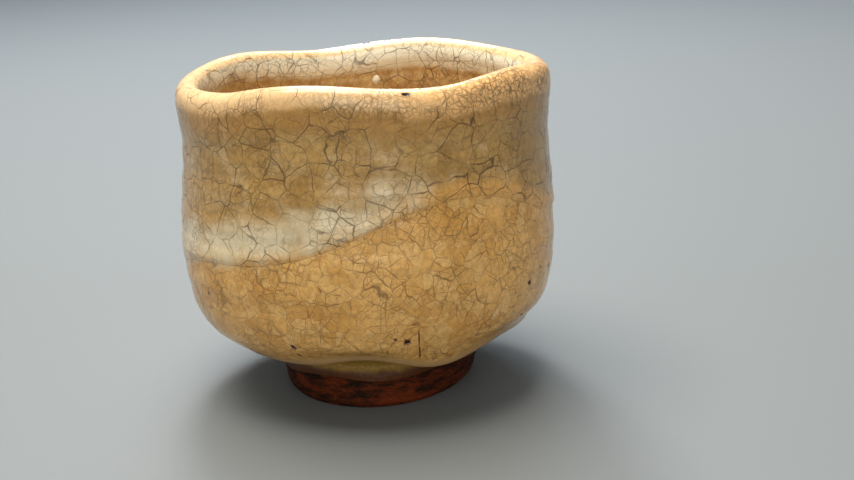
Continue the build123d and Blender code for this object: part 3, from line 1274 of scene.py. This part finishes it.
@dataclass
class FootRun(Piece):
    """The thin glaze that ran over the corner between the underside and the foot.

    Its section is the radii that it covers under the bowl, then points down the foot and back.
    """

    growth: float = 0.3
    under: tuple[float, ...] = (43.4, 41.0, 38.5, 36.0, 34.2)
    down: Outline = ((32.7, 14.5), (31.9, 13.3), (31.55, 11.6), (31.3, 9.8), (30.95, 8.4))
    back: Outline = ((30.6, 8.6), (31.0, 12.0), (31.2, 15.2), (33.5, 16.0), (38.0, 16.5), (43.2, 17.8))
    edge_waves: tuple[Wave, ...] = (Wave(2, 0.7, 105.0), Wave(5, 0.8, 20.0))
    unevenness: float = 0.1
    around: int = 48
    levels: int = 3

    def build(self) -> None:
        """Raises the run's section as rings round the foot, and lets its edge wander."""
        reach = np.array(self.under)
        level = self.form.height_at_radius(reach) + self.growth
        section = [(float(r), float(h)) for r, h in zip(reach, level)] + [*self.down, *self.back]
        self.mesh = raise_rings("run_over_foot", section, True, self.around)
        mark_rings(self.mesh, "reach", [radius for radius, _ in section], self.around)
        refine(self.mesh, self.levels)
        rows = get_points(self.mesh)
        azimuth, height = azimuth_of(rows), rows[:, 2]
        drop = ripple(self.edge_waves, azimuth) * fade(height, 8.4, 12.6)
        reach = get_attribute(self.mesh, "reach") + self.unevenness * lumps(rows, 3.0, 9.0)
        set_points(self.mesh, self.form.on_form(reach, height + drop, azimuth))
        set_attribute(self.mesh, "gather", step(height, 9.0, 14.0))
        face_outwards(self.mesh)


@dataclass
class FootRing(Piece):
    """The turned foot: its ring, the recess under it and the point left in the middle."""

    recess: float = 9.4
    point: float = 1.8
    inner: float = 23.4
    taper: float = 1.4
    grit: float = 0.12
    tooling: float = 0.09
    tool_pitch: float = 2.3
    wear_depth: float = 0.25
    around: int = 48
    levels: int = 3

    def section(self) -> list[tuple[float, float]]:
        """Radius and height of the foot's rings, from the turned point to its hidden top."""
        outer, top = self.form.foot_radius, self.form.seat_height
        return [
            (0.8, self.recess - self.point),
            (3.0, self.recess - 0.7 * self.point),
            (6.0, self.recess - 0.05),
            (12.0, self.recess),
            (self.inner - self.taper - 1.6, self.recess),
            (self.inner - self.taper - 0.3, self.recess - 0.5),
            (self.inner - 0.9, 5.0),
            (self.inner - 0.15, 1.3),
            (self.inner + 0.3, 0.35),
            (self.inner + 1.1, 0.0),
            (outer - 1.2, 0.0),
            (outer - 0.35, 0.3),
            (outer + 0.05, 1.1),
            (outer + 0.5, 4.6),
            (outer + 1.0, 9.0),
            (self.form.foot_top_radius, top),
            (18.0, top),
        ]

    def build(self) -> None:
        """Raises the foot's section as rings, and roughens it with tool marks and grit."""
        section = self.section()
        self.mesh = raise_rings("turned_foot", section, False, self.around)
        mark_rings(self.mesh, "reach", [radius for radius, _ in section], self.around)
        refine(self.mesh, self.levels)
        rows = get_points(self.mesh)
        azimuth, height = azimuth_of(rows), rows[:, 2]
        from_axis = np.hypot(rows[:, 0], rows[:, 1])
        reach = np.where(from_axis < 0.7, from_axis, get_attribute(self.mesh, "reach"))
        outer = step(reach, 28.0, 29.8) * fade(height, 11.0, 13.0)
        marks = np.sin(height * 2 * math.pi / self.tool_pitch + np.radians(azimuth) * 2)
        worn = self.wear_depth * (1 + lumps(rows, 7.0, 1.0)) * fade(height, 0.0, 3.0)
        reach = reach + outer * (self.tooling * marks + self.grit * lumps(rows, 1.6, 3.0) - worn)
        set_points(self.mesh, self.form.on_form(reach, height, azimuth))
        face_outwards(self.mesh)


@dataclass
class GlazeDrop(Piece):
    """The drop of milky glaze that stands on the inner wall."""

    radius: float = 1.7
    height: float = 1.2
    azimuth: float = 85.0
    depth: float = 13.5
    gap: float = 0.02
    sag: float = 0.12
    around: int = 24
    levels: int = 2
    outline: Outline = ((1.0, 0.0), (0.97, 0.25), (0.86, 0.5), (0.66, 0.75), (0.4, 0.92), (0.12, 1.0))

    def build(self) -> None:
        """Raises a rounded drop, and lays it on the inner wall, sagging downwards."""
        sizes = [(self.radius * share, self.height * rise) for share, rise in self.outline]
        self.mesh = raise_rings("drop_on_wall", sizes, False, self.around)
        refine(self.mesh, self.levels)
        rows = get_points(self.mesh)
        sag = 1 + self.sag * rows[:, 0] / self.radius
        along = self.form.crest + self.depth + rows[:, 0]
        azimuth = self.azimuth + np.degrees(rows[:, 1] * sag / self.form.lip_radius)
        set_points(self.mesh, self.form.lay(along, rows[:, 2] * sag + self.gap, azimuth))
        set_attribute(self.mesh, "veil", np.ones(len(rows)))
        face_outwards(self.mesh)


# ---------------------------------------------------------------- the studio


@dataclass(frozen=True)
class Panel:
    """A square soft light: its place, aim and side in metres, its power in watts, its colour."""

    name: str
    spot: tuple[float, float, float]
    target: tuple[float, float, float]
    size: float
    power: float
    colour: str

    def hang(self) -> None:
        """Hangs the light, facing its target."""
        data = bpy.data.lights.new(self.name, "AREA")
        data.size = self.size
        data.energy = self.power
        data.color = linear(self.colour)[:3]
        panel = bpy.data.objects.new(self.name, data)
        panel.location = self.spot
        aim = Vector(self.target) - Vector(self.spot)
        panel.rotation_euler = aim.to_track_quat("-Z", "Y").to_euler()
        bpy.context.scene.collection.objects.link(panel)


@dataclass
class Studio:
    """A pale paper sweep, soft lights above, and the camera.  Angles are in radians."""

    reach: float = 1.9
    sweep_radius: float = 0.6
    room_colour: str = "E8EDF0"
    room_strength: float = 0.36
    panels: tuple[Panel, ...] = (
        Panel("Key", (-0.28, 0.10, 1.80), (0, 0, 0.05), 1.3, 54.0, "FFF9F0"),
        Panel("Back strip", (-0.10, 0.80, 0.95), (0, 0, 0.09), 0.22, 6.0, "FFFFFF"),
        Panel("Back wash", (0.0, 1.3, 1.5), (-0.3, 1.9, 0.0), 1.0, 36.0, "E2EEFF"),
        Panel("Front fill", (0.0, -1.3, 0.6), (0, 0, 0.05), 1.2, 7.0, "FFFAF2"),
    )
    camera_spot: tuple[float, float, float] = (0.7, -370.0, 144.0)
    yaw: float = 0.0448
    pitch: float = 0.271
    roll: float = -0.0425
    lens: float = 52.57

    def build(self) -> None:
        """Rolls out the paper, hangs the lights and sets the camera."""
        self.roll_paper()
        for panel in self.panels:
            panel.hang()
        self.light_room()
        self.set_camera()

    def roll_paper(self) -> None:
        """The floor, and the curve up behind it."""
        bpy.ops.object.select_all(action="DESELECT")
        bpy.ops.mesh.primitive_plane_add(size=1.0, location=(0, 0, 0))
        floor = bpy.context.object
        floor.name = floor.data.name = "studio_floor"
        side = 2 * self.reach
        bpy.ops.object.mode_set(mode="EDIT")
        bpy.ops.mesh.select_all(action="SELECT")
        bpy.ops.transform.resize(value=(side, side, 1), center_override=(0, 0, 0))
        bpy.ops.object.mode_set(mode="OBJECT")
        bpy.context.tool_settings.mesh_select_mode = (False, True, False)
        for vertex in floor.data.vertices:
            vertex.select = vertex.co.y > 0.9 * self.reach
        for edge in floor.data.edges:
            edge.select = all(floor.data.vertices[i].select for i in edge.vertices)
        for face in floor.data.polygons:
            face.select = False
        centre = (0, self.reach, self.sweep_radius)
        bpy.ops.object.mode_set(mode="EDIT")
        bpy.ops.mesh.spin(steps=24, angle=math.radians(-88), center=centre, axis=(1, 0, 0))
        bpy.ops.object.mode_set(mode="OBJECT")
        bpy.ops.object.shade_smooth()
        wear(floor, StudioPaper().make())

    def light_room(self) -> None:
        """The weak light of the room, from all round."""
        world = bpy.data.worlds.new("Room")
        world.use_nodes = True
        back = world.node_tree.nodes["Background"]
        back.inputs["Color"].default_value = linear(self.room_colour)
        back.inputs["Strength"].default_value = self.room_strength
        bpy.context.scene.world = world

    def set_camera(self) -> None:
        """A camera a little above the rim, looking down at the front of the bowl."""
        level = Vector((math.cos(self.yaw), -math.sin(self.yaw), 0))
        ahead = Vector((math.sin(self.yaw), math.cos(self.yaw), 0))
        forward = math.cos(self.pitch) * ahead - math.sin(self.pitch) * Vector((0, 0, 1))
        upright = level.cross(forward)
        right = math.cos(self.roll) * level + math.sin(self.roll) * upright
        up = math.cos(self.roll) * upright - math.sin(self.roll) * level
        data = bpy.data.cameras.new("Camera")
        data.lens = self.lens
        data.sensor_width = 36.0
        data.clip_start = 0.01
        data.clip_end = 20.0
        camera = bpy.data.objects.new("Camera", data)
        turn = Matrix((right, up, -forward)).transposed().to_4x4()
        camera.matrix_world = Matrix.Translation(Vector(self.camera_spot) * MM) @ turn
        bpy.context.scene.collection.objects.link(camera)
        bpy.context.scene.camera = camera


# ---------------------------------------------------------------- putting it together

# Real craze lines are hair-thin, and the finest cells are under a millimetre across, so both are
# drawn as coarse as they need to be to show.
UPPER_NETS = (
    Crackle(7.4, 0.32, 0.72, 0.38),
    Crackle(4.0, 0.24, 0.55, 0.47),
    Crackle(2.1, 0.2, 0.35, 0.5),
)
LOWER_NETS = (
    Crackle(5.6, 0.26, 0.62, 0.4),
    Crackle(3.6, 0.22, 0.52, 0.46),
    Crackle(1.9, 0.16, 0.3, 0.5),
)
VEIL = Zone("veil", "EEE0BC", 0.85)
DIP_ZONES = (
    Zone("undipped", "E2A858", 0.9),
    Zone("shade", "A27C44", 0.45),
    VEIL,
    # the paler milky glaze inside: partly real colour, partly painted light on the inner wall
    Zone("inner_milk_and_painted_light", "FFF8DC", 0.85),
    # painted shade: the darker band under the lip
    Zone("painted_underlip_shade", "B88440", 0.6),
    # pale lip glaze: partly real colour, partly painted light on the rim
    Zone("lip", "F2CA94", 0.95),
    # orange rim glaze, made brighter on the front right as painted light
    Zone("rust", "FFC680", 0.9),
)
AMBER_ZONES = (VEIL, Zone("hip", "C09868", 0.85))
MILKY_GLAZE = CrackledGlaze(
    "milky dip glaze", "CFA868", "BE9452", "AC8346", "46300F", UPPER_NETS, DIP_ZONES
)
AMBER_GLAZE = CrackledGlaze(
    "amber crackle glaze", "F2C67E", "E5AF61", "D0994B", "5E360F", LOWER_NETS, AMBER_ZONES
)
LINING_GLAZE = CrackledGlaze(
    "inner crackle glaze", "DDBC80", "CFA66A", "B4884E", "4E340F", UPPER_NETS, (VEIL,)
)

# Stations of each coat's rings, close together where the coat turns tightly
AMBER_TOP = (0, 0.004, 0.012, 0.025, 0.05, 0.09, 0.14, 0.2, 0.26, 0.33, 0.4, 0.47, 0.54, 0.61)
AMBER_TOP += (0.68, 0.76, 0.88, 1.0)
AMBER_UNDER = (0.98, 0.75, 0.5, 0.25, 0.005)
MILKY_TOP = (0, 0.02, 0.05, 0.1, 0.18, 0.28, 0.38, 0.48, 0.58, 0.68, 0.77, 0.85, 0.91, 0.96, 1.0)
MILKY_TOP += (1.15, 1.3, 1.5, 1.7, 1.88, 2.0)
MILKY_UNDER = (1.7, 1.2, 0.95, 0.6, 0.3)
LINING_TOP = (0.0, 0.04, 0.08, 0.12, 0.17, 0.23, 0.3, 0.37, 0.44, 0.51, 0.58, 0.65, 0.72, 0.79)
LINING_TOP += (0.86, 0.93, 0.975, 1.0)
LINING_UNDER = (1.0, 0.9, 0.7, 0.5, 0.3, 0.1, 0.0)

# Pinholes, pits and open cracks, low on the wall and on the hip
SCARS = (
    Scar((245.0, 26.5), (245.5, 25.7), 0.45, 0.7),
    Scar((245.3, 23.1), (245.7, 22.5), 0.4, 0.6),
    Scar((279.4, 27.4), (279.4, 27.5), 0.75, 0.8),
    Scar((282.5, 31.1), (283.1, 26.0), 0.16, 0.3),
    Scar((283.1, 26.0), (283.9, 20.9), 0.14, 0.3),
    Scar((275.9, 28.8), (275.9, 28.9), 0.35, 0.4),
    Scar((255.1, 44.7), (255.9, 43.6), 0.18, 0.2),
    Scar((214.4, 37.9), (214.5, 37.8), 0.35, 0.4),
    Scar((323.0, 36.4), (323.4, 35.9), 0.5, 0.5),
    Scar((338.5, 37.1), (338.6, 36.8), 0.45, 0.5),
    Scar((323.3, 26.0), (323.9, 25.8), 0.45, 0.4),
)
# The rim's chip and its crack, pits along the far rim, and a small star crack below the lip
RIM_SCARS = (
    Scar((280.6, 95.3), (281.8, 95.3), 0.5, 0.5),
    Scar((281.8, 95.0), (285.5, 94.4), 0.14, 0.2),
    Scar((88.0, 96.0), (89.0, 96.0), 0.55, 0.25),
    Scar((80.0, 96.0), (81.5, 96.0), 0.5, 0.25),
    Scar((75.5, 96.0), (76.2, 96.0), 0.45, 0.25),
    Scar((186.0, 87.5), (186.3, 85.0), 0.6, 0.3),
    Scar((295.3, 80.7), (297.0, 82.6), 0.16, 0.15),
    Scar((295.3, 80.7), (293.4, 79.6), 0.16, 0.15),
    Scar((295.3, 80.7), (296.2, 78.3), 0.16, 0.15),
)


def make_coats() -> list[tuple[Coat, CrackledGlaze]]:
    """The coats of glaze that cover the clay.

    Returns:
        Each coat with its finish.
    """
    amber = AmberCoat(
        "amber_glaze", Slot.AMBER, FORM, "amber_coat", (skirt, crest), AMBER_TOP, AMBER_UNDER, scars=SCARS
    )
    milky = MilkyCoat(
        "milky_dip_coat",
        Slot.MILKY,
        FORM,
        "milky_coat",
        (outer_dip, crest, inner_dip),
        MILKY_TOP,
        MILKY_UNDER,
        lift=0.5,
        scars=RIM_SCARS,
    )
    lining = Coat(
        "lining_glaze",
        Slot.LINING,
        FORM,
        "lining_coat",
        (crest, pool_middle),
        LINING_TOP,
        LINING_UNDER,
        closed=False,
    )
    return [(amber, AMBER_GLAZE), (milky, MILKY_GLAZE), (lining, LINING_GLAZE)]


def make_bowl() -> None:
    """Builds and dresses every piece of the bowl, and dresses the clay under the glaze."""
    pieces = [
        *make_coats(),
        (FootRun("foot_glaze_run", Slot.THIN, FORM), ThinGlaze()),
        (FootRing("foot_ring", Slot.CLAY, FORM), FootClay()),
        (GlazeDrop("glaze_drop", Slot.MILKY, FORM), MILKY_GLAZE),
    ]
    for piece, finish in pieces:
        piece.build()
        piece.dress(finish)
        piece.place_in_frame()
    wear(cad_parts["clay_body"], FootClay(name="clay under the glaze").make())


def main() -> None:
    """Builds the bowl and its studio."""
    logging.basicConfig(level=logging.INFO, format="%(name)s %(message)s")
    bpy.context.scene.view_settings.view_transform = "Standard"
    make_bowl()
    Studio().build()


if __name__ == "__main__":
    main()
